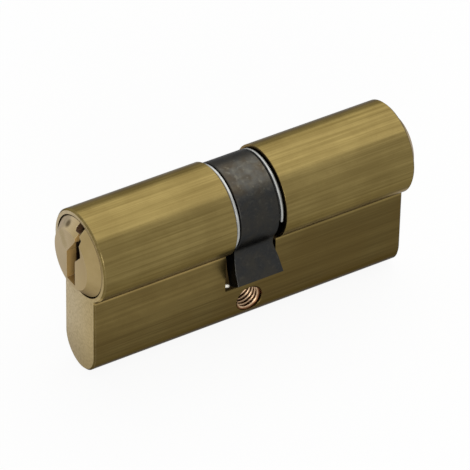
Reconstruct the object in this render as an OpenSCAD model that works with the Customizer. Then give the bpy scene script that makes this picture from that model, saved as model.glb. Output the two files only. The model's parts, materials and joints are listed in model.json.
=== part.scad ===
// Double lock cylinder of the round-headed profile type, held by one screw through its leg.
// The origin is the centre of the screw hole, X runs along the cylinder and Z points up.

/* [Body] */
// Distance from the screw hole to each end face
half_length = 31; // [30:0.5:45]
// Diameter of the round head
head_d = 17; // [16.8:0.1:18]
// Width of the flat leg
leg_w = 10; // [9:0.1:10.5]
// Height from the foot of the leg to the top of the head
body_h = 32.5; // [31.5:0.1:35]
// Height of the plug axis above the screw hole
axis_z = 18.4; // [17.8:0.1:19]
// Bevel along the edges of both end faces
end_bevel = 0.3; // [0.1:0.05:0.5]
// Width of the slot that the cam turns in
slot_w = 10; // [9.9:0.1:11]
// Distance from the plug axis down to the floor of the cam slot
slot_drop = 14.85; // [14.7:0.05:15]

/* [Screw hole] */
// Diameter of the threaded screw hole
screw_d = 5; // [4:0.1:5.2]
// Bevel at both mouths of the screw hole
screw_bevel = 0.2; // [0.1:0.05:0.4]

/* [Plugs] */
// Diameter of the turning barrel of a plug
barrel_d = 13; // [12.8:0.1:13.2]
// Diameter of the flange at the outer end of a plug
flange_d = 14.6; // [14.2:0.1:14.8]
// Thickness of the flange inside the body
flange_t = 1.6; // [1:0.1:2.5]
// Diameter of the flat face of the plug's nose
nose_d = 11; // [10.6:0.1:12.5]
// How far the nose stands out of the body
nose_proud = 1.7; // [0.5:0.1:2.2]
// How far the rim of the nose lies below the end face
nose_rim = 0.12; // [0.05:0.01:0.3]
// Gap around the flange
flange_gap = 0.22; // [0.06:0.01:0.3]
// Running clearance around the barrel and the pins
run_gap = 0.05; // [0.03:0.01:0.08]
// Length of a plug's inner end that sits inside the cam ring
spigot_l = 2.1; // [1.5:0.1:2.4]

/* [Keyway] */
// Width of the lower part of the keyway
keyway_w = 2.8; // [2.2:0.1:2.85]
// Distance from the plug axis down to the floor of the keyway
keyway_drop = 4.75; // [4:0.05:5]
// How far the middle of the keyway is set to one side
keyway_step = 1.8; // [1.2:0.1:2]
// Width of the narrow neck under the top of the keyway
keyway_neck = 0.4; // [0.35:0.05:1]
// Height above the plug axis where the lower part of the keyway ends
keyway_bend = 0.9; // [0.6:0.1:1.4]
// Height above the plug axis of the widest part of the keyway
keyway_mid = 3.3; // [3:0.1:4]
// Height above the plug axis where the narrow neck starts
keyway_neck_h = 5.9; // [5.6:0.05:6]
// Width of the notch at the top of the flange
notch_w = 1.4; // [1.2:0.1:2.6]
// Height above the plug axis of the floor of the notch
notch_floor = 6.2; // [6.1:0.05:6.4]

/* [Cam] */
// Outer diameter of the cam ring
cam_ring_d = 16; // [15.4:0.1:16.4]
// Thickness of the cam ring's wall
cam_wall = 1.45; // [1.4:0.05:1.6]
// Width of the cam ring
cam_ring_w = 7.7; // [7.4:0.1:7.8]
// Bevel along the edges of the cam ring
cam_bevel = 0.15; // [0.1:0.05:0.3]
// Distance from the plug axis to the tip of the cam
cam_reach = 14.3; // [13.5:0.1:14.5]
// Width of the cam at its tip
cam_tip_w = 9.1; // [8:0.1:9.4]
// Thickness of the cam's lobe
cam_lobe_t = 3.2; // [2.5:0.1:4]
// Radius of the hollow corners beside the lobe
cam_fillet = 2.5; // [1.5:0.1:3]
// Angle of the lobe away from straight down, towards the front
cam_angle = 30; // [0:1:45]
// Thickness of the web inside the cam ring
web_t = 3; // [2.5:0.1:3.1]

/* [Clips] */
// Outer diameter of the retaining clips
clip_d = 15.9; // [15.6:0.1:16.2]
// Width of the ring of a clip
clip_w = 2.3; // [2.1:0.05:2.4]
// Thickness of the retaining clips
clip_t = 0.7; // [0.5:0.05:0.75]
// Bevel at the outer edge of a clip, on the side away from the cam
clip_bevel = 0.35; // [0.1:0.05:0.45]
// Depth of the groove that a clip sits in, from the shoulder beside it
clip_groove = 0.9; // [0.6:0.05:1]
// Opening angle of a clip
clip_opening = 110; // [90:1:130]
// Gap between a clip and the cam ring
clip_gap = 0.25; // [0.15:0.01:0.28]

/* [Coupler] */
// Height of the coupler tongues
tongue_h = 9.3; // [8:0.1:9.6]
// Thickness of the coupler tongues
tongue_t = 2.9; // [2.4:0.1:3]
// Length of the part of a tongue that stays in its plug
tongue_grip = 2.3; // [2:0.1:2.6]

/* [Pins] */
// Diameter of the pin chambers
chamber_d = 3; // [2.9:0.05:3.1]
// Distance from an end face to the first pin
first_pin = 6; // [5.5:0.1:6.2]
// Distance from one pin to the next
pin_pitch = 3.9; // [3.7:0.05:3.95]
// Length of the shortest key pin
key_pin_min = 3.2; // [3:0.1:3.4]
// Step between key pin lengths
key_pin_step = 0.6; // [0.4:0.05:0.65]
// Length of the driver pins
driver_l = 4.6; // [4:0.1:5.5]
// Length of the plugs that close the pin chambers
stopper_l = 3.4; // [2.5:0.1:4]

/* [Springs] */
// Diameter of the spring wire
wire_d = 0.4; // [0.3:0.02:0.45]
// Outer diameter of the springs
spring_d = 2.7; // [2.4:0.05:2.75]
// Number of turns in a spring
spring_turns = 6.5; // [5:0.5:8]

/* [Hidden] */
$fn = 64;

PINS = 5;
// Key pin lengths in steps above the shortest
CUTS = [0, 2, 1, 3, 0];

BRASS = "#8d7c4e";
STEEL = "#b5b6b2";
OXIDE = "#35352f";
WIRE = "#9aa0a4";

// Clearance of pieces that are let in, and of the stoppers, which are pressed in
slack = 0.05;
press_gap = 0.01;
head_r = head_d / 2;
leg_r = leg_w / 2;
foot_z = axis_z + head_r - body_h + leg_r;
slot_floor = axis_z - slot_drop;
barrel_r = barrel_d / 2;
bore_r = barrel_r + run_gap;
flange_r = flange_d / 2;
recess_r = flange_r + flange_gap;
ring_half = cam_ring_w / 2;
web_half = web_t / 2;
// Inner end of a plug, measured from the middle of the cam
plug_end = ring_half - spigot_l;
clip_x = ring_half + clip_gap;
clip_inner_r = clip_d / 2 - clip_w;
groove_r = clip_inner_r - slack;
shoulder_r = groove_r + clip_groove;
// The bore of the cam ring turns on the plug's inner end
cam_bore_r = cam_ring_d / 2 - cam_wall;
spigot_r = cam_bore_r - run_gap;
chamber_r = chamber_d / 2;
pin_r = chamber_r - run_gap;
pin_bevel = 0.45;
tail_bevel = 0.25;
// Sloping corners of the keyway and the notch, and how far each one's edge lies beside the keyway
slant = 0.4;
neck_set = 0.35;
notch_set = 0.1;
// Where the cam's lobe widens below the ring, how long that takes, and how much its tip still widens
flare_gap = 1;
flare_l = 2.3;
tip_flare = 0.25;
// Middle of each clip's opening, turned down from the front
front_opening = 82;
rear_opening = 63;
driver_bevel = 0.2;
key_pin_tip = 1;
key_pin_tip_r = 0.5;
// The key pins end inside the barrel, and the driver pins start outside its bore
key_pin_foot = axis_z - sqrt(pow(barrel_r, 2) - pow(pin_r - pin_bevel, 2)) + run_gap / 2;
driver_top = axis_z - bore_r - run_gap;
driver_foot = driver_top - driver_l;
stopper_top = foot_z - leg_r + stopper_l;
steps_per_turn = 11;
chamber_top = axis_z + 0.7;
cut = 1;
// Lengths along X of the coupler tongues and of the slots that they slide in
tongue_l = tongue_grip + (plug_end - web_half) + web_t - slack;
coupler_travel = web_t;
tongue_slot_l = tongue_grip + coupler_travel + slack * 2;

// Everything at the rear is the front turned half a turn about the upright axis
module rear() {
    rotate([0, 0, 180]) children();
}

// A cylinder along X on the plug axis
module rod_x(x, length, r) {
    translate([x, 0, axis_z]) rotate([0, 90, 0]) cylinder(h = length, r = r);
}

// A flat outline in Y and Z about the plug axis, drawn out along X
module outline_x(x, length) {
    translate([x, 0, axis_z]) rotate([90, 0, 90]) linear_extrude(height = length) children();
}

function pin_x(i) = -half_length + first_pin + i * pin_pitch;
function key_pin_l(i) = key_pin_min + CUTS[i] * key_pin_step;

// A round bar along X with a bevel at both ends
module bevelled_bar(z, r) {
    translate([-half_length, 0, z]) rotate([0, 90, 0]) rotate_extrude() polygon([
        [0, 0], [r - end_bevel, 0], [r, end_bevel],
        [r, half_length * 2 - end_bevel], [r - end_bevel, half_length * 2], [0, half_length * 2]
    ]);
}

module leg_block() {
    long = half_length;
    short = half_length - end_bevel;
    wide = leg_r;
    slim = leg_r - end_bevel;
    translate([0, 0, foot_z]) linear_extrude(height = axis_z - foot_z) polygon([
        [-long, -slim], [-short, -wide], [short, -wide], [long, -slim],
        [long, slim], [short, wide], [-short, wide], [-long, slim]
    ]);
}

module screw_hole() {
    rotate([90, 0, 0]) cylinder(h = leg_w + cut * 2, r = screw_d / 2, center = true);
    for (side = [-1, 1]) {
        translate([0, side * (leg_r - screw_bevel), 0]) rotate([-side * 90, 0, 0])
            cylinder(h = screw_bevel * 2, r1 = screw_d / 2, r2 = screw_d / 2 + screw_bevel * 2);
    }
}

module body() {
    color(BRASS) difference() {
        union() {
            bevelled_bar(axis_z, head_r);
            leg_block();
            bevelled_bar(foot_z, leg_r);
        }
        rod_x(-half_length - cut, half_length * 2 + cut * 2, bore_r);
        rod_x(-half_length - cut, flange_t + slack + cut, recess_r);
        rod_x(half_length - flange_t - slack, flange_t + slack + cut, recess_r);
        translate([-slot_w / 2, -head_d, slot_floor]) cube([slot_w, head_d * 2, body_h]);
        screw_hole();
        for (i = [0:PINS - 1]) {
            for (side = [-1, 1]) {
                translate([side * pin_x(i), 0, foot_z - leg_r - cut])
                    cylinder(h = axis_z - foot_z + leg_r, r = chamber_r);
            }
        }
    }
}

// The keyway seen from the front: centred at its foot, set over in the middle, with a narrow neck
module keyway_outline() {
    half = keyway_w / 2;
    side = -half - keyway_step;
    neck_right = -half - neck_set;
    neck_left = neck_right + keyway_neck;
    polygon([
        [half, -keyway_drop], [half, keyway_bend], [neck_left, keyway_neck_h - slant * 3],
        [neck_left, barrel_d], [neck_right, barrel_d], [neck_right, keyway_neck_h],
        [neck_right - slant * 2, keyway_neck_h - slant], [side, keyway_mid],
        [side, keyway_mid - slant * 2], [-half, keyway_bend - slant], [-half, -keyway_drop]
    ]);
}

// The wider notch through the nose and flange, over the neck of the keyway
module notch_outline() {
    right = -keyway_w / 2 - notch_set;
    left = right + notch_w;
    polygon([
        [right, barrel_d], [right, notch_floor], [left - slant, notch_floor],
        [left, notch_floor + slant], [left, barrel_d]
    ]);
}

module tongue_outline(h, t) {
    intersection() {
        circle(d = h);
        square([t, h * 2], center = true);
    }
}

// Turned outline of a plug from its nose to its inner end, with a shoulder at the clip's groove
module plug_blank() {
    groove = half_length - clip_x;
    groove_start = groove - clip_t - slack * 2;
    slot_side = half_length - slot_w / 2;
    shoulder = (slot_side + groove_start) / 2;
    tail = half_length - plug_end;
    translate([-half_length, 0, axis_z]) rotate([0, 90, 0]) rotate_extrude() polygon([
        [0, -nose_proud], [nose_d / 2, -nose_proud], [flange_r, nose_rim], [flange_r, flange_t],
        [barrel_r, flange_t], [barrel_r, slot_side], [shoulder_r, shoulder], [shoulder_r, groove_start],
        [groove_r, groove_start], [groove_r, groove], [spigot_r, groove],
        [spigot_r, tail - tail_bevel], [spigot_r - tail_bevel, tail], [0, tail]
    ]);
}

module plug() {
    color(BRASS) difference() {
        plug_blank();
        outline_x(-half_length - nose_proud - cut, half_length + nose_proud) keyway_outline();
        outline_x(-half_length - nose_proud - cut, flange_t + nose_proud + cut) notch_outline();
        outline_x(-plug_end - tongue_slot_l, tongue_slot_l + cut)
            tongue_outline(tongue_h + slack * 2, tongue_t + slack * 2);
        for (i = [0:PINS - 1]) {
            translate([pin_x(i), 0, axis_z - barrel_d])
                cylinder(h = chamber_top - axis_z + barrel_d, r = chamber_r);
        }
    }
}

module front_plug() {
    plug();
}

module rear_plug() {
    rear() plug();
}

// A C-shaped clip in its groove beside the cam, with the middle of its opening turned down from the front
module clip(opening_mid) {
    reach = clip_d;
    half = clip_opening / 2;
    r = clip_d / 2;
    color(STEEL) difference() {
        translate([clip_x + slack, 0, axis_z]) rotate([0, 90, 0]) rotate_extrude() polygon([
            [clip_inner_r, 0], [r, 0], [r, clip_t - clip_bevel],
            [r - clip_bevel, clip_t], [clip_inner_r, clip_t]
        ]);
        outline_x(clip_x, clip_t + cut) polygon([
            [0, 0],
            for (turn = [-half, 0, half])
                [-reach * cos(opening_mid + turn), -reach * sin(opening_mid + turn)]
        ]);
    }
}

module front_clip() {
    rear() clip(front_opening);
}

module rear_clip() {
    clip(rear_opening);
}

// The lobe of the cam from the side, pointing straight down, with hollow corners at the ring
module lobe_side() {
    ring_r = cam_ring_d / 2;
    half = cam_lobe_t / 2;
    corner_x = half + cam_fillet;
    corner_y = sqrt(pow(ring_r + cam_fillet, 2) - pow(corner_x, 2));
    touch = ring_r / (ring_r + cam_fillet);
    root = cam_bore_r + cam_wall / 2;
    root_half = corner_x * root / (ring_r + cam_fillet);
    difference() {
        union() {
            intersection() {
                translate([-half, -cam_reach]) square([cam_lobe_t, cam_reach - root]);
                circle(r = cam_reach);
            }
            polygon([
                [-corner_x * touch, -corner_y * touch], [-half, -corner_y], [half, -corner_y],
                [corner_x * touch, -corner_y * touch], [root_half, -root], [-root_half, -root]
            ]);
        }
        for (side = [-1, 1]) {
            translate([side * corner_x, -corner_y]) circle(r = cam_fillet);
        }
    }
}

// The lobe flares from the width of the ring to its full width at the tip
module lobe_front() {
    flare_start = cam_ring_d / 2 + flare_gap;
    flare_end = flare_start + flare_l;
    flare_half = cam_tip_w / 2 - tip_flare;
    tip = cam_reach + cut;
    polygon([
        [-ring_half, 0], [-ring_half, -flare_start], [-flare_half, -flare_end],
        [-cam_tip_w / 2, -cam_reach], [-cam_tip_w / 2, -tip], [cam_tip_w / 2, -tip],
        [cam_tip_w / 2, -cam_reach], [flare_half, -flare_end], [ring_half, -flare_start], [ring_half, 0]
    ]);
}

// A solid ring with both edges bevelled, before it is bored
module cam_ring() {
    r = cam_ring_d / 2;
    translate([-ring_half, 0, axis_z]) rotate([0, 90, 0]) rotate_extrude() polygon([
        [0, 0], [r - cam_bevel, 0], [r, cam_bevel],
        [r, cam_ring_w - cam_bevel], [r - cam_bevel, cam_ring_w], [0, cam_ring_w]
    ]);
}

module cam() {
    color(OXIDE) difference() {
        union() {
            cam_ring();
            translate([0, 0, axis_z]) rotate([-cam_angle, 0, 0]) intersection() {
                rotate([90, 0, 90]) linear_extrude(height = cam_tip_w, center = true) lobe_side();
                rotate([90, 0, 0]) linear_extrude(height = cam_reach, center = true) lobe_front();
            }
        }
        rod_x(-ring_half - cut, ring_half - web_half + cut, cam_bore_r);
        rod_x(web_half, ring_half - web_half + cut, cam_bore_r);
        outline_x(-web_half - cut, web_t + cut * 2)
            tongue_outline(tongue_h + slack * 2, tongue_t + slack * 2);
    }
}

// The front tongue reaches through the cam's web, and the rear one rests just behind it
module front_coupler() {
    color(STEEL) outline_x(web_half - slack - tongue_l, tongue_l) tongue_outline(tongue_h, tongue_t);
}

module rear_coupler() {
    color(STEEL) outline_x(web_half + slack, tongue_l) tongue_outline(tongue_h, tongue_t);
}

// A pin that points up into the keyway, with a bevelled foot that turns with the plug
module key_pin(i) {
    l = key_pin_l(i);
    color(BRASS) translate([pin_x(i), 0, key_pin_foot]) rotate_extrude() polygon([
        [0, 0], [pin_r - pin_bevel, 0], [pin_r, pin_bevel],
        [pin_r, l - key_pin_tip], [key_pin_tip_r, l], [0, l]
    ]);
}

module driver(i) {
    color(STEEL) translate([pin_x(i), 0, driver_foot]) rotate_extrude() polygon([
        [0, 0], [pin_r - driver_bevel, 0], [pin_r, driver_bevel], [pin_r, driver_l - driver_bevel],
        [pin_r - driver_bevel, driver_l], [0, driver_l]
    ]);
}

// A plug that closes a pin chamber, cut to the round foot of the leg
module stopper(i) {
    color(BRASS) intersection() {
        translate([pin_x(i), 0, foot_z - leg_r - cut])
            cylinder(h = stopper_l + cut, r = chamber_r - press_gap);
        translate([-half_length, -leg_r, foot_z]) rotate([0, 90, 0]) translate([0, leg_r, 0])
            cylinder(h = half_length, r = leg_r - slack);
    }
}

// A coil spring made of rings of the wire's outline, swept along its turns
function coil_point(t, a, l, steps) =
    let(
        turn = 360 * spring_turns * t / steps,
        r = (spring_d - wire_d) / 2 + wire_d / 2 * cos(a),
        z = wire_d / 2 + (l - wire_d) * t / steps + wire_d / 2 * sin(a)
    )
    [r * cos(turn), r * sin(turn), z];

module spring(i) {
    sides = 6;
    steps = round(spring_turns * steps_per_turn);
    length = driver_foot - stopper_top - slack * 2;
    points = [
        for (t = [0:steps])
            for (k = [0:sides - 1])
                coil_point(t, 360 * k / sides + 30, length, steps)
    ];
    walls = [
        for (t = [0:steps - 1])
            for (k = [0:sides - 1])
                let(a = t * sides + k, b = t * sides + (k + 1) % sides)
                    each [[a, b, b + sides], [a, b + sides, a + sides]]
    ];
    start = [for (k = [0:sides - 1]) sides - 1 - k];
    end = [for (k = [0:sides - 1]) steps * sides + k];
    color(WIRE) translate([pin_x(i), 0, stopper_top + slack])
        polyhedron(points = points, faces = concat(walls, [start, end]), convexity = 10);
}

body();
front_plug();
rear_plug();
front_clip();
rear_clip();
cam();
front_coupler();
rear_coupler();
for (i = [0:PINS - 1]) {
    key_pin(i);
    rear() key_pin(i);
    driver(i);
    rear() driver(i);
    spring(i);
    rear() spring(i);
    stopper(i);
    rear() stopper(i);
}
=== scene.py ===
import json
import math

import bpy
from mathutils import Matrix, Vector


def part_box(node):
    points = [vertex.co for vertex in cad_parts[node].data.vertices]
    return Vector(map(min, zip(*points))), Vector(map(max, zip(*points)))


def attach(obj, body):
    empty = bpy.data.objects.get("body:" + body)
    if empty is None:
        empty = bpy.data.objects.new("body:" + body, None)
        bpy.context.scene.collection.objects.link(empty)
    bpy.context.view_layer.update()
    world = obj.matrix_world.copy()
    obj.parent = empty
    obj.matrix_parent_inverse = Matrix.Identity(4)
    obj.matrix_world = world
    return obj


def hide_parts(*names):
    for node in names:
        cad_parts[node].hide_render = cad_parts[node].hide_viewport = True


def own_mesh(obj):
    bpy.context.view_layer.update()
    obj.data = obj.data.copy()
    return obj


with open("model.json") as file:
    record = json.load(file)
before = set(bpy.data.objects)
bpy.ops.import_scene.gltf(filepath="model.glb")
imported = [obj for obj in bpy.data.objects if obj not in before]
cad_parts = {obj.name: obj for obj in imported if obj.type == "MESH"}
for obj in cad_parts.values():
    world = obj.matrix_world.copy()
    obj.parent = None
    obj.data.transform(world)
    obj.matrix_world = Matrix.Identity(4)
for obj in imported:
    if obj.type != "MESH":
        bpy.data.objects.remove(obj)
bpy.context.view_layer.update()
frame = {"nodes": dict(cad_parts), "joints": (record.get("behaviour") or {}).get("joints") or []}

nodes = frame["nodes"]
joints = {joint["name"]: joint for joint in frame["joints"]}
mm = 0.001
ends = ("front", "rear")
pinNumbers = range(1, 6)

bodyLow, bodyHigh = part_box("body")
halfLength = bodyHigh.x
footZ = bodyLow.z
noseEnd = abs(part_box("front_plug")[0].x)
plugAxisZ = joints["front_plug_spin"]["pos_m"][2]
legTop = plugAxisZ - 7.5 * mm
slotFloorZ = plugAxisZ - 14.85 * mm

scene = bpy.context.scene
scene.view_settings.view_transform = "Standard"
print("frame loaded:", len(nodes), "nodes")


def srgb(red, green, blue):
    # A colour picked from 0 to 255 on a screen, as the shader wants it
    return tuple(((c / 255 + 0.055) / 1.055) ** 2.4 if c > 10 else c / 255 / 12.92
                 for c in (red, green, blue)) + (1.0,)


# Small helpers for node trees

bevelSamples = 6


def addNode(tree, kind, **settings):
    made = tree.nodes.new(kind)
    for name, value in settings.items():
        if hasattr(made, name):
            setattr(made, name, value)
        else:
            made.inputs[name].default_value = value
    return made


def feed(tree, made, **sources):
    # Fills inputs by name, from a socket or with a value; underscores stand for spaces
    # A name such as i2 stands for the input's number
    for name, source in sources.items():
        key = int(name[1:]) if name[1:].isdigit() else name.replace("_", " ")
        if isinstance(source, bpy.types.NodeSocket):
            tree.links.new(source, made.inputs[key])
        else:
            made.inputs[key].default_value = source


def mathNode(tree, operation, first, second=0.0, clamp=False):
    made = addNode(tree, "ShaderNodeMath", operation=operation, use_clamp=clamp)
    feed(tree, made, i0=first, i1=second)
    return made.outputs[0]


def plus(tree, first, second, clamp=False):
    return mathNode(tree, "ADD", first, second, clamp)


def minus(tree, first, second):
    return mathNode(tree, "SUBTRACT", first, second)


def times(tree, first, second):
    return mathNode(tree, "MULTIPLY", first, second)


def larger(tree, first, second):
    return mathNode(tree, "MAXIMUM", first, second)


def unsigned(tree, value):
    return mathNode(tree, "ABSOLUTE", value)


def fromAxis(tree, first, second):
    # The distance from an axis, from the two coordinates across it
    return mathNode(tree, "SQRT", plus(tree, times(tree, first, first), times(tree, second, second)))


def rampNode(tree, value, low, high, toLow=0.0, toHigh=1.0):
    # Stretches a value from one range to another with soft ends
    made = addNode(tree, "ShaderNodeMapRange", interpolation_type="SMOOTHSTEP")
    feed(tree, made, Value=value, From_Min=low, From_Max=high, To_Min=toLow, To_Max=toHigh)
    return made.outputs[0]


def fadeNode(tree, value, low, high, strength=1.0):
    # Falls from a strength to 0 between two places
    return rampNode(tree, value, low, high, strength, 0.0)


def bandMask(tree, value, start, full, fade, gone, strength=1.0):
    # Rises between the first two places and falls to 0 between the last two
    return times(tree, rampNode(tree, value, start, full), fadeNode(tree, value, fade, gone, strength))


def mixColour(tree, factor, first, second, blend="MIX"):
    made = addNode(tree, "ShaderNodeMix", data_type="RGBA", blend_type=blend)
    feed(tree, made, i0=factor, i6=first, i7=second)
    return made.outputs[2]


def objectPlace(tree):
    return addNode(tree, "ShaderNodeTexCoord").outputs["Object"]


def placeParts(tree):
    # The three coordinates of a point on the piece
    parts = addNode(tree, "ShaderNodeSeparateXYZ")
    feed(tree, parts, Vector=objectPlace(tree))
    return parts.outputs["X"], parts.outputs["Y"], parts.outputs["Z"]


def noiseNode(tree, place, scale, detail, roughness):
    made = addNode(tree, "ShaderNodeTexNoise")
    feed(tree, made, Vector=place, Scale=scale, Detail=detail, Roughness=roughness)
    return made.outputs["Fac"]


def newGroup(name, inputs, outputs):
    # An effect that several materials share, with numbers in and masks out
    tree = bpy.data.node_groups.new(name, "ShaderNodeTree")
    for label, value in inputs.items():
        socket = tree.interface.new_socket(label, in_out="INPUT", socket_type="NodeSocketFloat")
        socket.default_value = value
    for label in outputs:
        tree.interface.new_socket(label, in_out="OUTPUT", socket_type="NodeSocketFloat")
    return tree, tree.nodes.new("NodeGroupInput").outputs, tree.nodes.new("NodeGroupOutput")


def useGroup(tree, group, **sources):
    made = tree.nodes.new("ShaderNodeGroup")
    made.node_tree = group
    feed(tree, made, **sources)
    return made.outputs


def makeBrushedLines():
    # Long fine scratches along X, in two widths, with soft breaks in them
    defaults = {"Along": 25.0, "Across": 900.0, "Contrast": 1.0}
    tree, given, result = newGroup("brushedLines", defaults, ["Lines", "Fine"])
    scale = addNode(tree, "ShaderNodeCombineXYZ")
    feed(tree, scale, X=given["Along"], Y=given["Across"], Z=given["Across"])
    stretched = addNode(tree, "ShaderNodeVectorMath", operation="MULTIPLY")
    feed(tree, stretched, i0=objectPlace(tree), i1=scale.outputs[0])
    broad = noiseNode(tree, stretched.outputs[0], scale=1.0, detail=4.0, roughness=0.6)
    fine = noiseNode(tree, stretched.outputs[0], scale=3.7, detail=3.0, roughness=0.65)
    both = plus(tree, times(tree, broad, 0.6), times(tree, fine, 0.4))
    spread = times(tree, minus(tree, both, 0.5), given["Contrast"])
    feed(tree, result, Lines=plus(tree, spread, 0.5, clamp=True), Fine=fine)
    return tree


def makeTurnedRings():
    # Fine rings about the plug's axis, as a lathe leaves them, and the distance from that axis
    tree, given, result = newGroup("turnedRings", {"Pitch": 0.2 * mm}, ["Rings", "Radius"])
    _, y, z = placeParts(tree)
    radius = fromAxis(tree, y, minus(tree, z, plugAxisZ))
    ringCount = mathNode(tree, "DIVIDE", radius, given["Pitch"])
    wave = addNode(tree, "ShaderNodeTexNoise", noise_dimensions="1D")
    feed(tree, wave, W=ringCount, Scale=1.0, Detail=2.0, Roughness=0.5)
    feed(tree, result, Rings=wave.outputs["Fac"], Radius=radius)
    return tree


def makeEdgeWear():
    # Marks where the surface bends sharply: the rubbed edges of metal
    tree, given, result = newGroup("edgeWear", {"Width": 0.3 * mm, "Breakup": 1500.0}, ["Mask"])
    rounded = addNode(tree, "ShaderNodeBevel", samples=bevelSamples)
    feed(tree, rounded, Radius=given["Width"])
    plain = addNode(tree, "ShaderNodeNewGeometry").outputs["Normal"]
    turn = addNode(tree, "ShaderNodeVectorMath", operation="DOT_PRODUCT")
    feed(tree, turn, i0=rounded.outputs[0], i1=plain)
    bend = minus(tree, 1.0, turn.outputs["Value"])
    bend = rampNode(tree, bend, 0.02, 0.2)  # from about 11 to 37 degrees
    uneven = noiseNode(tree, objectPlace(tree), given["Breakup"], detail=3.0, roughness=0.6)
    feed(tree, result, Mask=times(tree, bend, rampNode(tree, uneven, 0.3, 0.6, toLow=0.35)))
    return tree


def makeTarnish():
    # Broad soft patches with small specks, for oxide and dried oil
    tree, given, result = newGroup("tarnish", {"Size": 140.0, "Speck": 2600.0}, ["Patches", "Specks"])
    place = objectPlace(tree)
    patches = noiseNode(tree, place, given["Size"], detail=4.0, roughness=0.55)
    patches = rampNode(tree, patches, 0.35, 0.65)
    specks = noiseNode(tree, place, given["Speck"], detail=2.0, roughness=0.5)
    specks = rampNode(tree, specks, 0.58, 0.72)
    feed(tree, result, Patches=patches, Specks=specks)
    return tree


brushedLines = makeBrushedLines()
turnedRings = makeTurnedRings()
edgeWear = makeEdgeWear()
tarnish = makeTarnish()
print("effects built")


# Helpers for materials

def newMaterial(name, metallic=1.0, anisotropic=0.0, edgeTint=(0.5, 0.5, 0.5, 1.0)):
    # The edge tint keeps old, slightly dull metal from flaring white where it is seen at a slant
    material = bpy.data.materials.new(name)
    material.use_nodes = True
    tree = material.node_tree
    shader = tree.nodes["Principled BSDF"]
    shader.inputs["Metallic"].default_value = metallic
    shader.inputs["Anisotropic"].default_value = anisotropic
    shader.inputs["Specular Tint"].default_value = edgeTint
    return material, tree, shader


def roundedNormal(tree, edge, height, strength, depth):
    # Softens sharp edges by a small radius and lays a fine relief on top
    soft = addNode(tree, "ShaderNodeBevel", samples=bevelSamples, Radius=edge)
    bump = addNode(tree, "ShaderNodeBump", Strength=strength, Distance=depth)
    feed(tree, bump, Height=height, Normal=soft.outputs[0])
    return bump.outputs[0]


def facing(tree, axisName, low, high):
    # How far the surface faces along one axis, either way
    parts = addNode(tree, "ShaderNodeSeparateXYZ")
    feed(tree, parts, Vector=addNode(tree, "ShaderNodeNewGeometry").outputs["Normal"])
    return rampNode(tree, unsigned(tree, parts.outputs[axisName]), low, high)


def spot(tree, centre, inner, outer):
    # A soft round mark at one place on the piece, 1 in its middle and 0 outside
    away = addNode(tree, "ShaderNodeVectorMath", operation="DISTANCE")
    feed(tree, away, i0=objectPlace(tree), i1=centre)
    return fadeNode(tree, away.outputs["Value"], inner, outer)


def sideways(tree):
    # The distance from the middle of an end face, counted the same way round at both ends
    x, y, _ = placeParts(tree)
    return mathNode(tree, "DIVIDE", times(tree, x, y), -halfLength)


def sideToSide(tree, width):
    # Rises from 0 to 1 across an end face
    return rampNode(tree, sideways(tree), -width, width)


def useMaterial(objects, material):
    for made in objects:
        made.data.materials.clear()
        made.data.materials.append(material)


def smooth(made, angle=35):
    for face in made.data.polygons:
        face.use_smooth = True
    made.data.set_sharp_from_angle(angle=math.radians(angle))


# Body: dull brass, brushed lengthwise on its sides and milled across its ends

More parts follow.
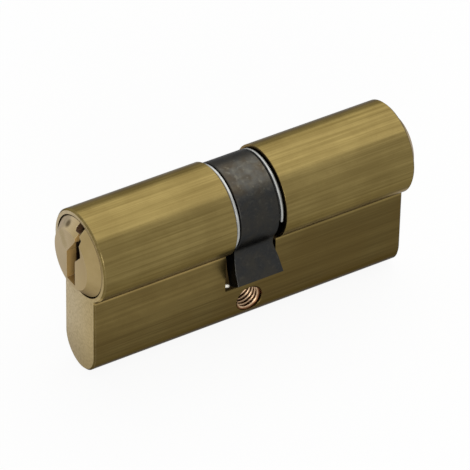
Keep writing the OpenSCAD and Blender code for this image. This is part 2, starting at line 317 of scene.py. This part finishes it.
bodyLook = {
    "headLight": srgb(144, 127, 79),
    "headDark": srgb(94, 80, 44),
    "legShadedLight": srgb(128, 111, 67),
    "legShadedDark": srgb(84, 70, 40),
    "endLitPale": srgb(205, 190, 160),
    "endGold": srgb(190, 170, 124),
    "inside": srgb(36, 28, 16),
    "slotRim": srgb(138, 118, 82),
    "bore": srgb(92, 72, 42),
    "glint": srgb(226, 222, 210),
    "worn": srgb(186, 172, 138),
    "oilAndShade": srgb(84, 68, 36),
    "under": srgb(168, 144, 92),
    "turnAwaySheen": srgb(236, 208, 146),
    "edgeTint": (0.41, 0.41, 0.43, 1.0),
    "anisotropic": 0.35,
    "roughness": 0.25,
    "scratchRoughness": 0.1,
    "endRoughness": 0.12,
    "edge": 0.12 * mm,
    "fineLines": {"Along": 17.0, "Across": 1250.0, "Contrast": 3.2},
    "broadLines": {"Along": 7.0, "Across": 300.0, "Contrast": 2.8},
    "fineShare": 0.62,
    "patches": {"Size": 150.0, "Speck": 2400.0},
    "blotches": {"Size": 75.0, "Speck": 900.0},
    "wear": {"Width": 0.22 * mm, "Breakup": 1500.0},
    "millingScale": 1900.0,
    # How strongly each colour is laid on
    "oilStrength": 0.16,
    "speckStrength": 0.1,
    "wearStrength": 0.4,
    "endPatchStrength": 0.22,
    "millingStrength": 0.24,
    "insideStrength": 0.95,
    "leastShade": 0.62,
    # Where on the body: places that a value changes between, and then the values there
    "headStart": (legTop - 0.3 * mm, legTop + 0.6 * mm),
    "footShade": (legTop - 13.5 * mm, legTop - 1.5 * mm, 0.68, 1.0),
    "rearShade": (-18 * mm, 20 * mm, 1.0, 0.72),
    "blotchRange": (legTop - 1 * mm, legTop + 1 * mm, 0.34, 0.12),
    "nearSide": (-4 * mm, -1 * mm),
    "underBand": (legTop + 0.1 * mm, legTop + 0.3 * mm, legTop + 2.2 * mm, legTop + 3.6 * mm),
    "underRange": (-5 * mm, 8 * mm, 0.68, 0.12),
    "turnAwaySheenBand": (legTop + 1.6 * mm, legTop + 2.3 * mm, legTop + 2.8 * mm, legTop + 3.8 * mm, 0.42),
    "endFace": (halfLength - 0.5 * mm, halfLength - 0.3 * mm),
    "endHalfWidth": 7 * mm,
    "endFoot": (legTop - 16 * mm, legTop - 7 * mm, 0.3),
    "boreWall": (7.45 * mm, 7.65 * mm),
    "wearStart": (5.4 * mm, 6.4 * mm),
    "slotLength": (4.9 * mm, 5.05 * mm),
    "slotWidth": (4.7 * mm, 4.95 * mm),
    "slotFloor": (slotFloorZ - 0.2 * mm, slotFloorZ - 0.1 * mm),
    "rimRadius": (7.9 * mm, 8.3 * mm),
    "rimHeight": (legTop - 0.2 * mm, legTop + 0.2 * mm),
    "glintPlace": (-3.9 * mm, -3.7 * mm, slotFloorZ),
    "glintSize": (0.2 * mm, 0.6 * mm),
}


def bodySides(tree, look, lines, patches):
    # Head and leg: the leg a darker copy of the head's brass and darker still towards the foot and the
    # rear half, as painted shade, and pale bands low on the near side of the head as painted highlights
    x, y, z = placeParts(tree)
    broad = useGroup(tree, brushedLines, **look["broadLines"])["Lines"]
    fine = times(tree, lines, look["fineShare"])
    streaks = plus(tree, fine, times(tree, broad, 1 - look["fineShare"]))
    head = mixColour(tree, streaks, look["headDark"], look["headLight"])
    # Painted shade: the leg's colours are a darker copy of the head's brass
    leg = mixColour(tree, streaks, look["legShadedDark"], look["legShadedLight"])
    # Painted shade: darker towards the foot and the rear half
    shade = times(tree, rampNode(tree, z, *look["footShade"]), rampNode(tree, x, *look["rearShade"]))
    leg = mixColour(tree, 1.0, leg, larger(tree, shade, look["leastShade"]), "MULTIPLY")
    side = mixColour(tree, rampNode(tree, z, *look["headStart"]), leg, head)
    near = fadeNode(tree, y, *look["nearSide"])
    # Painted highlights: two pale bands low on the near side of the head
    under = times(tree, bandMask(tree, z, *look["underBand"]), rampNode(tree, x, *look["underRange"]))
    side = mixColour(tree, times(tree, under, near), side, look["under"])
    turnAwaySheen = bandMask(tree, z, *look["turnAwaySheenBand"])
    side = mixColour(tree, times(tree, turnAwaySheen, near), side, look["turnAwaySheen"])
    blotches = useGroup(tree, tarnish, **look["blotches"])["Patches"]
    blotched = times(tree, blotches, rampNode(tree, z, *look["blotchRange"]))
    side = mixColour(tree, blotched, side, look["oilAndShade"])
    return mixColour(tree, times(tree, patches, look["oilStrength"]), side, look["oilAndShade"])


def bodyEnds(tree, look, patches):
    # The milled end faces, paler on one side as painted light, and darker towards the foot as painted
    # shade
    z = placeParts(tree)[2]
    # Painted light: one side of the face paler
    face = mixColour(tree, sideToSide(tree, look["endHalfWidth"]), look["endGold"], look["endLitPale"])
    face = mixColour(tree, times(tree, patches, look["endPatchStrength"]), face, look["endGold"])
    milled = noiseNode(tree, objectPlace(tree), look["millingScale"], detail=4.0, roughness=0.65)
    milled = rampNode(tree, milled, 0.38, 0.68, toHigh=look["millingStrength"])
    face = mixColour(tree, milled, face, look["oilAndShade"])
    # Painted shade: darker towards the foot
    return mixColour(tree, fadeNode(tree, z, *look["endFoot"]), face, look["oilAndShade"])


def bodySlot(tree, look, facesEnd, end, radius):
    # The cam slot's walls and floor, painted dark as shade, with the walls paler above the leg, at the
    # rim round the cam
    x, y, z = placeParts(tree)
    along = fadeNode(tree, unsigned(tree, x), *look["slotLength"])
    across = fadeNode(tree, unsigned(tree, y), *look["slotWidth"])
    floor = times(tree, times(tree, along, rampNode(tree, z, *look["slotFloor"])), across)
    # Painted shade over the slot's walls and floor
    inside = larger(tree, minus(tree, facesEnd, end), floor)
    rim = times(tree, rampNode(tree, radius, *look["rimRadius"]), rampNode(tree, z, *look["rimHeight"]))
    colour = mixColour(tree, rim, look["inside"], look["slotRim"])
    return times(tree, inside, look["insideStrength"]), colour


def makeBodyBrass(name="bodyBrass", look=bodyLook):
    material, tree, shader = newMaterial(name, anisotropic=look["anisotropic"], edgeTint=look["edgeTint"])
    lines = useGroup(tree, brushedLines, **look["fineLines"])
    patches = useGroup(tree, tarnish, **look["patches"])
    wear = useGroup(tree, edgeWear, **look["wear"])["Mask"]
    radius = useGroup(tree, turnedRings)["Radius"]
    far = unsigned(tree, placeParts(tree)[0])
    facesEnd = facing(tree, "X", 0.74, 0.95)
    end = times(tree, facesEnd, rampNode(tree, far, *look["endFace"]))
    side = bodySides(tree, look, lines["Lines"], patches["Patches"])
    colour = mixColour(tree, end, side, bodyEnds(tree, look, patches["Patches"]))
    colour = mixColour(tree, times(tree, patches["Specks"], look["speckStrength"]), colour, look["oilAndShade"])
    wear = times(tree, wear, rampNode(tree, far, *look["wearStart"]))  # none beside the slot
    wear = times(tree, wear, look["wearStrength"])
    colour = mixColour(tree, wear, colour, look["worn"])
    # Painted shade on the walls of the plug bores
    bore = times(tree, fadeNode(tree, radius, *look["boreWall"]), look["insideStrength"])
    colour = mixColour(tree, bore, colour, look["bore"])
    inside, insideColour = bodySlot(tree, look, facesEnd, end, radius)
    colour = mixColour(tree, inside, colour, insideColour)
    glint = spot(tree, look["glintPlace"], *look["glintSize"])
    colour = mixColour(tree, glint, colour, look["glint"])
    rough = plus(tree, look["roughness"], times(tree, lines["Fine"], look["scratchRoughness"]))
    rough = plus(tree, rough, times(tree, end, look["endRoughness"]))
    normal = roundedNormal(tree, look["edge"], lines["Lines"], strength=0.22, depth=0.02 * mm)
    tangent = addNode(tree, "ShaderNodeCombineXYZ", X=1.0)  # the scratches run along X
    feed(tree, shader, Base_Color=colour, Roughness=rough, Normal=normal, Tangent=tangent.outputs[0])
    return material


# Screw thread: freshly cut, redder brass, darker in its roots as painted shade, with random darker
# patches

threadLook = {
    "crest": srgb(198, 170, 138),
    "root": srgb(104, 68, 44),
    "roughness": 0.3,
    "speckRoughness": 0.2,
    "edge": 0.05 * mm,
    "patches": {"Size": 700.0, "Speck": 3000.0},
    "patchStrength": 0.3,
    "rootShade": (2.15 * mm, 2.45 * mm),
}


def makeThreadBrass(name="threadBrass", look=threadLook):
    material, tree, shader = newMaterial(name)
    x, _, z = placeParts(tree)
    patches = useGroup(tree, tarnish, **look["patches"])
    # Painted shade in the roots, broken by patches
    rootShade = rampNode(tree, fromAxis(tree, x, z), *look["rootShade"])
    rootShade = plus(tree, rootShade, times(tree, patches["Patches"], look["patchStrength"]), clamp=True)
    colour = mixColour(tree, rootShade, look["crest"], look["root"])
    rough = plus(tree, look["roughness"], times(tree, patches["Specks"], look["speckRoughness"]))
    normal = roundedNormal(tree, look["edge"], patches["Patches"], strength=0.15, depth=0.01 * mm)
    feed(tree, shader, Base_Color=colour, Roughness=rough, Normal=normal)
    return material


# Plugs: lathe-turned brass noses with painted reflections, and golden walls at the keyway's mouth with
# painted shade further inside

plugLook = {
    "faceLitPale": srgb(200, 184, 154),
    "faceGold": srgb(186, 166, 124),
    "coneReflectionGold": srgb(152, 133, 92),
    "ringMark": srgb(160, 138, 92),
    "wallMouth": srgb(162, 130, 77),
    "wallDeepShade": srgb(40, 27, 13),
    "notch": srgb(74, 52, 32),
    "worn": srgb(206, 194, 166),
    "darkReflection": srgb(84, 72, 50),
    "dustAndSheen": srgb(134, 126, 106),
    "oliveReflection": srgb(140, 124, 74),
    "edgeTint": (0.35, 0.35, 0.42, 1.0),
    "anisotropic": 0.5,
    "roughness": 0.3,
    "ringRoughness": 0.14,
    "wallRoughness": 0.2,
    "wallDullness": 0.85,
    "ringPitch": 0.16 * mm,
    "edge": 0.07 * mm,
    "patches": {"Size": 240.0, "Speck": 3000.0},
    "wear": {"Width": 0.14 * mm, "Breakup": 2500.0},
    # How strongly each colour is laid on
    "ringStrength": 0.35,
    "patchStrength": 0.2,
    "wearStrength": 0.45,
    # Where on the plug
    "faceHalfWidth": 6 * mm,
    "coneHalfWidth": 3 * mm,
    "mouthDepth": 0.9 * mm,
    "mouthFade": 0.25 * mm,
    "mouthSlant": 0.6,
    "neckHeight": (plugAxisZ + 4.3 * mm, plugAxisZ + 4.7 * mm),
    "neckDepth": 2.2 * mm,
    "notchHeight": (plugAxisZ + 6.0 * mm, plugAxisZ + 6.15 * mm),
}

# Painted reflections on a nose, as soft spots: distance from the screw hole, aside and above the axis,
# radius, strength, colour
noseReflections = [
    (31.5, 3.3, 5.7, 1.7, 0.45, "dustAndSheen"),
    (31.85, 2.3, 5.9, 1.0, 0.8, "darkReflection"),
    (32.7, 3.0, 3.6, 1.5, 0.3, "oliveReflection"),
    (32.7, 2.2, 2.2, 1.4, 0.3, "oliveReflection"),
]


def plugNose(tree, look, rings, patches):
    # The turned face, paler on one side as painted light, with its cone more golden on one side as a
    # painted reflection
    # Painted light: one side of the face paler
    face = mixColour(tree, sideToSide(tree, look["faceHalfWidth"]), look["faceGold"], look["faceLitPale"])
    # Painted reflection: one side of the cone more golden
    cone = minus(tree, 1.0, facing(tree, "X", 0.78, 0.92))
    reflectionSide = minus(tree, 1.0, sideToSide(tree, look["coneHalfWidth"]))
    face = mixColour(tree, times(tree, cone, reflectionSide), face, look["coneReflectionGold"])
    face = mixColour(tree, times(tree, rings, look["ringStrength"]), face, look["ringMark"])
    return mixColour(tree, times(tree, patches, look["patchStrength"]), face, look["faceGold"])


def keywayWalls(tree, look):
    # Golden at the mouth and painted dark inside as shade, with the walls from the neck upwards lit
    # further in, and the notch painted dark as shade
    x, _, z = placeParts(tree)
    depth = minus(tree, noseEnd, unsigned(tree, x))
    depth = minus(tree, depth, times(tree, sideways(tree), look["mouthSlant"]))
    depth = minus(tree, depth, rampNode(tree, z, *look["neckHeight"], toHigh=look["neckDepth"]))
    # Painted shade deeper in the keyway and in its notch
    deepShade = rampNode(tree, depth, look["mouthDepth"], look["mouthDepth"] + look["mouthFade"])
    walls = mixColour(tree, deepShade, look["wallMouth"], look["wallDeepShade"])
    return mixColour(tree, rampNode(tree, z, *look["notchHeight"]), walls, look["notch"])


def makePlugBrass(name="plugBrass", look=plugLook):
    material, tree, shader = newMaterial(name, anisotropic=look["anisotropic"], edgeTint=look["edgeTint"])
    rings = useGroup(tree, turnedRings, Pitch=look["ringPitch"])["Rings"]
    patches = useGroup(tree, tarnish, **look["patches"])["Patches"]
    wear = useGroup(tree, edgeWear, **look["wear"])["Mask"]
    wall = minus(tree, 1.0, facing(tree, "X", 0.1, 0.4))
    colour = mixColour(tree, wall, plugNose(tree, look, rings, patches), keywayWalls(tree, look))
    # Painted reflections at the same places on both noses
    for along, aside, above, radius, strength, tone in noseReflections:
        for end in (-1, 1):
            centre = (end * along * mm, end * -aside * mm, plugAxisZ + above * mm)
            mark = spot(tree, centre, radius * 0.3 * mm, radius * mm)
            colour = mixColour(tree, times(tree, mark, strength), colour, look[tone])
    colour = mixColour(tree, times(tree, wear, look["wearStrength"]), colour, look["worn"])
    metallic = minus(tree, 1.0, times(tree, wall, look["wallDullness"]))
    rough = plus(tree, look["roughness"], times(tree, rings, look["ringRoughness"]))
    rough = plus(tree, rough, times(tree, wall, look["wallRoughness"]))
    normal = roundedNormal(tree, look["edge"], rings, strength=0.3, depth=0.03 * mm)
    tangent = addNode(tree, "ShaderNodeTangent", direction_type="RADIAL", axis="X")
    feed(tree, shader, Base_Color=colour, Metallic=metallic, Roughness=rough, Normal=normal,
         Tangent=tangent.outputs[0])
    return material


# Cam: black oxide on sintered steel, rubbed brownish across the top of its ring and paler there as a
# painted highlight

camLook = {
    "black": srgb(36, 37, 39),
    "grey": srgb(54, 54, 52),
    "rubbedAndSheen": srgb(82, 80, 74),
    "brown": srgb(72, 62, 48),
    "worn": srgb(108, 106, 100),
    "dustAndSheen": srgb(122, 118, 104),
    "rust": srgb(66, 60, 48),
    "roughnessRange": (0.3, 0.46),
    "edge": 0.2 * mm,
    "grainScale": 3800.0,
    "cloudScale": 950.0,
    "rubLines": {"Along": 70.0, "Across": 480.0, "Contrast": 2.0},
    "patches": {"Size": 430.0, "Speck": 1300.0},
    "wear": {"Width": 0.26 * mm, "Breakup": 1200.0},
    # How strongly each colour is laid on
    "rubStrength": 0.35,
    "rubLineStrength": 0.5,
    "cloudStrength": 0.25,
    "rustStrength": 0.25,
    "dustStrength": 0.05,
    "topDustStrength": 0.16,
    "wearStrength": 0.12,
    # Where on the cam
    "topHeight": (plugAxisZ + 4.6 * mm, plugAxisZ + 7.0 * mm),
    "topSide": (-0.5 * mm, 1.8 * mm),
}


def makeCamOxide(name="camOxide", look=camLook):
    material, tree, shader = newMaterial(name)
    _, y, z = placeParts(tree)
    patches = useGroup(tree, tarnish, **look["patches"])
    wear = useGroup(tree, edgeWear, **look["wear"])["Mask"]
    lines = useGroup(tree, brushedLines, **look["rubLines"])["Lines"]
    grain = noiseNode(tree, objectPlace(tree), look["grainScale"], detail=3.0, roughness=0.6)
    clouds = noiseNode(tree, objectPlace(tree), look["cloudScale"], detail=3.0, roughness=0.6)
    clouds = rampNode(tree, clouds, 0.4, 0.7, toHigh=look["cloudStrength"])
    # The top of the ring: brownish rubbing, and paler as a painted highlight
    top = times(tree, rampNode(tree, z, *look["topHeight"]), fadeNode(tree, y, *look["topSide"]))
    rubbedAndSheen = mixColour(tree, patches["Patches"], look["rubbedAndSheen"], look["brown"])
    rubbedAndSheen = mixColour(tree, clouds, rubbedAndSheen, look["dustAndSheen"])
    rubAndSheen = plus(tree, look["rubStrength"], times(tree, lines, look["rubLineStrength"]))
    dusting = plus(tree, look["dustStrength"], times(tree, top, look["topDustStrength"]))
    colour = mixColour(tree, grain, look["black"], look["grey"])
    colour = mixColour(tree, times(tree, top, rubAndSheen), colour, rubbedAndSheen)
    colour = mixColour(tree, times(tree, patches["Patches"], look["rustStrength"]), colour, look["rust"])
    colour = mixColour(tree, times(tree, patches["Specks"], dusting), colour, look["dustAndSheen"])
    colour = mixColour(tree, times(tree, wear, look["wearStrength"]), colour, look["worn"])
    rough = rampNode(tree, grain, 0.3, 0.7, *look["roughnessRange"])
    normal = roundedNormal(tree, look["edge"], grain, strength=0.25, depth=0.02 * mm)
    feed(tree, shader, Base_Color=colour, Roughness=rough, Normal=normal)
    return material


# Steel: bright clips, ground pins and drawn spring wire

steelLook = {
    "clip": {
        "light": srgb(172, 173, 170), "dark": srgb(140, 141, 138),
        "roughness": 0.34, "edge": 0.2 * mm, "metallic": 0.8, "specks": 0.1,
    },
    "pin": {
        "light": srgb(196, 196, 192), "dark": srgb(140, 140, 138),
        "roughness": 0.3, "edge": 0.06 * mm, "metallic": 1.0, "specks": 0.4,
    },
    "wire": {
        "light": srgb(182, 184, 186), "dark": srgb(110, 112, 116),
        "roughness": 0.34, "edge": 0.03 * mm, "metallic": 1.0, "specks": 0.4,
    },
}

steelFinish = {
    "patches": {"Size": 420.0, "Speck": 3600.0},
    "wear": {"Width": 0.1 * mm, "Breakup": 3000.0},
    "patchStrength": 0.6,
    "patchRoughness": 0.12,
}


def makeSteel(name, look, finish=steelFinish):
    material, tree, shader = newMaterial(name, metallic=look["metallic"])
    patches = useGroup(tree, tarnish, **finish["patches"])
    wear = useGroup(tree, edgeWear, **finish["wear"])["Mask"]
    dull = times(tree, patches["Patches"], finish["patchStrength"])
    colour = mixColour(tree, dull, look["light"], look["dark"])
    colour = mixColour(tree, times(tree, patches["Specks"], look["specks"]), colour, look["dark"])
    colour = mixColour(tree, times(tree, wear, look["specks"]), colour, look["light"])
    rough = plus(tree, look["roughness"], times(tree, patches["Patches"], finish["patchRoughness"]))
    normal = roundedNormal(tree, look["edge"], patches["Patches"], strength=0.1, depth=0.01 * mm)
    feed(tree, shader, Base_Color=colour, Roughness=rough, Normal=normal)
    return material


bodyBrass = makeBodyBrass()
threadBrass = makeThreadBrass()
plugBrass = makePlugBrass()
camOxide = makeCamOxide()
clipSteel = makeSteel("clipSteel", steelLook["clip"])
pinSteel = makeSteel("pinSteel", steelLook["pin"])
wireSteel = makeSteel("wireSteel", steelLook["wire"])

useMaterial([nodes["body"]], bodyBrass)
useMaterial([nodes[f"{end}_plug"] for end in ends], plugBrass)
useMaterial([nodes["cam"]], camOxide)
useMaterial([nodes[f"{end}_clip"] for end in ends], clipSteel)
useMaterial([nodes[f"{end}_coupler"] for end in ends], pinSteel)
for pinNumber in pinNumbers:
    useMaterial([nodes[f"{end}_key_pin_{pinNumber}"] for end in ends], plugBrass)
    useMaterial([nodes[f"{end}_driver_{pinNumber}"] for end in ends], pinSteel)
    useMaterial([nodes[f"{end}_stopper_{pinNumber}"] for end in ends], bodyBrass)
print("materials on the frame")


def meshPiece(name, points, faces, material, body):
    mesh = bpy.data.meshes.new(name)
    mesh.from_pydata(points, [], faces)
    mesh.update()
    made = bpy.data.objects.new(name, mesh)
    scene.collection.objects.link(made)
    useMaterial([made], material)
    smooth(made)
    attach(made, body)
    return made


def tubeFaces(ringCount, sides):
    # Walls and end caps of a tube whose rings have the same number of points
    walls = [(ring * sides + k, ring * sides + (k + 1) % sides,
              (ring + 1) * sides + (k + 1) % sides, (ring + 1) * sides + k)
             for ring in range(ringCount - 1) for k in range(sides)]
    last = (ringCount - 1) * sides
    return walls + [tuple(reversed(range(sides))), tuple(last + k for k in range(sides))]


# Screw thread: one ridge wound along the hole, thin at both ends

threadSize = {
    "outerRadius": 2.5 * mm,
    "innerRadius": 2.1 * mm,
    "pitch": 0.8 * mm,
    "length": 9.9 * mm,
    "runOut": 0.3,  # in turns
    "rootWidth": 0.66 * mm,
    "crestWidth": 0.14 * mm,
    "bury": 0.03 * mm,
    "stepsPerTurn": 40,
}


def makeThread(size=threadSize):
    turns = (size["length"] - size["rootWidth"]) / size["pitch"]
    steps = int(turns * size["stepsPerTurn"])
    outer = size["outerRadius"] + size["bury"]
    points = []
    for step in range(steps + 1):
        share = step / steps
        angle = share * turns * 2 * math.pi
        middle = (share - 0.5) * (size["length"] - size["rootWidth"])
        rise = min(1.0, share * turns / size["runOut"], (1 - share) * turns / size["runOut"])
        crest = size["outerRadius"] - (size["outerRadius"] - size["innerRadius"]) * rise
        for radius, offset in ((outer, -size["rootWidth"] / 2), (crest, -size["crestWidth"] / 2),
                               (crest, size["crestWidth"] / 2), (outer, size["rootWidth"] / 2)):
            points.append((radius * math.cos(angle), middle + offset, radius * math.sin(angle)))
    meshPiece("screwThread", points, tubeFaces(steps + 1, 4), threadBrass, "housing")


# Springs: round wire with closed ends, squeezed by the driver pin above

springSize = {
    "turns": 7.5,
    "closedTurns": 1.0,
    "closedPitch": 1.05,  # in wire diameters
    "wire": 0.4 * mm,
    "stepsPerTurn": 28,
    "sides": 10,
}


def makeSpring(end, pinNumber, size=springSize):
    nodeName = f"{end}_spring_{pinNumber}"
    low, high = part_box(nodeName)
    centreX = (low.x + high.x) / 2
    centreY = (low.y + high.y) / 2
    outer = (high.x - low.x) / 2
    wire = size["wire"] / 2
    steps = int(size["turns"] * size["stepsPerTurn"])
    bottom = low.z + wire
    travel = high.z - low.z - 2 * wire
    closed = size["closedTurns"]
    free = size["turns"] - 2 * closed
    lead = size["wire"] * size["closedPitch"] * closed
    points = []
    for step in range(steps + 1):
        turn = step / size["stepsPerTurn"]
        if turn < closed:
            height = lead * turn / closed
        elif turn > size["turns"] - closed:
            height = travel - lead * (size["turns"] - turn) / closed
        else:
            height = lead + (travel - 2 * lead) * (turn - closed) / free
        angle = turn * 2 * math.pi
        for k in range(size["sides"]):
            around = 2 * math.pi * k / size["sides"]
            radius = outer - wire + wire * math.cos(around)
            points.append((centreX + radius * math.cos(angle), centreY + radius * math.sin(angle),
                           bottom + height + wire * math.sin(around)))
    faces = tubeFaces(steps + 1, size["sides"])
    made = meshPiece(f"{end}CoilSpring{pinNumber}", points, faces, wireSteel, "housing")
    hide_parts(nodeName)
    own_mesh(made)


makeThread()
for end in ends:
    for pinNumber in pinNumbers:
        makeSpring(end, pinNumber)
print("thread and springs built")

for made in nodes.values():
    smooth(made)


# Floor, light and camera

stageLook = {
    "floorSize": 3.0,
    "floorColour": srgb(238, 238, 236),
    "floorRoughness": 0.8,
    "whiteShare": 0.92,
    "worldLevel": 0.5,
}


def shownWhite(tree):
    # 1 for what the camera sees straight on, in metal or through glass, and 0 for soft light
    rays = addNode(tree, "ShaderNodeLightPath").outputs
    seen = larger(tree, rays["Is Camera Ray"], rays["Is Glossy Ray"])
    return larger(tree, seen, rays["Is Transmission Ray"])


def makeStage(look=stageLook):
    mesh = bpy.data.meshes.new("floor")
    half = look["floorSize"] / 2
    corners = [(x * half, y * half, footZ) for x, y in ((-1, -1), (1, -1), (1, 1), (-1, 1))]
    mesh.from_pydata(corners, [], [(0, 1, 2, 3)])
    floor = bpy.data.objects.new("floor", mesh)
    scene.collection.objects.link(floor)
    material = bpy.data.materials.new("paleFloor")
    material.use_nodes = True
    tree = material.node_tree
    shader = tree.nodes["Principled BSDF"]
    shader.inputs["Base Color"].default_value = look["floorColour"]
    shader.inputs["Roughness"].default_value = look["floorRoughness"]
    glow = addNode(tree, "ShaderNodeEmission", Strength=1.0)
    mix = addNode(tree, "ShaderNodeMixShader")
    share = times(tree, shownWhite(tree), look["whiteShare"])
    feed(tree, mix, i0=share, i1=shader.outputs[0], i2=glow.outputs[0])
    tree.links.new(mix.outputs[0], tree.nodes["Material Output"].inputs["Surface"])
    useMaterial([floor], material)

    world = bpy.data.worlds.new("studio")
    scene.world = world
    world.use_nodes = True
    tree = world.node_tree
    background = tree.nodes["Background"]
    level = rampNode(tree, shownWhite(tree), 0.0, 1.0, toLow=look["worldLevel"])
    feed(tree, background, Color=(1, 1, 1, 1), Strength=level)


lamps = {
    "overhead": {"place": (0.33, 0.17, 0.54), "size": 1.0, "power": 3.7},
    "left": {"place": (-0.32, -0.6, 0.21), "size": 0.3, "power": 2.5},
}


def makeLamp(name, setup):
    light = bpy.data.lights.new(name, "AREA")
    light.shape = "SQUARE"
    light.size = setup["size"]
    light.energy = setup["power"]
    lamp = bpy.data.objects.new(name, light)
    scene.collection.objects.link(lamp)
    lamp.location = setup["place"]
    lamp.rotation_mode = "QUATERNION"
    lamp.rotation_quaternion = (Vector((0, 0, plugAxisZ)) - lamp.location).to_track_quat("-Z", "Y")


cameraSetup = {
    "across": 0.25 * mm,
    "belowAxis": 7.835 * mm,
    "azimuth": -31.998,
    "elevation": 38.469,
    "roll": 1.285,
    "distance": 0.7919,
    "lens": 351.35,
    "sensor": 36,
    "nearest": 0.01,
    "farthest": 20,
}


def makeCamera(setup=cameraSetup):
    turn = math.radians(setup["azimuth"])
    rise = math.radians(setup["elevation"])
    back = Vector((math.sin(turn) * math.cos(rise), -math.cos(turn) * math.cos(rise), math.sin(rise)))
    data = bpy.data.cameras.new("photoView")
    data.sensor_width = setup["sensor"]
    data.lens = setup["lens"]
    data.clip_start = setup["nearest"]
    data.clip_end = setup["farthest"]
    camera = bpy.data.objects.new("photoView", data)
    scene.collection.objects.link(camera)
    aim = (-back).to_track_quat("-Z", "Y").to_matrix().to_4x4()
    spin = Matrix.Rotation(math.radians(setup["roll"]), 4, "Z")
    target = Vector((0, setup["across"], plugAxisZ - setup["belowAxis"]))
    camera.matrix_world = Matrix.Translation(target + back * setup["distance"]) @ aim @ spin
    bpy.context.scene.camera = camera


makeStage()
for name, setup in lamps.items():
    makeLamp(name, setup)
makeCamera()
print("stage, lamps and camera ready")
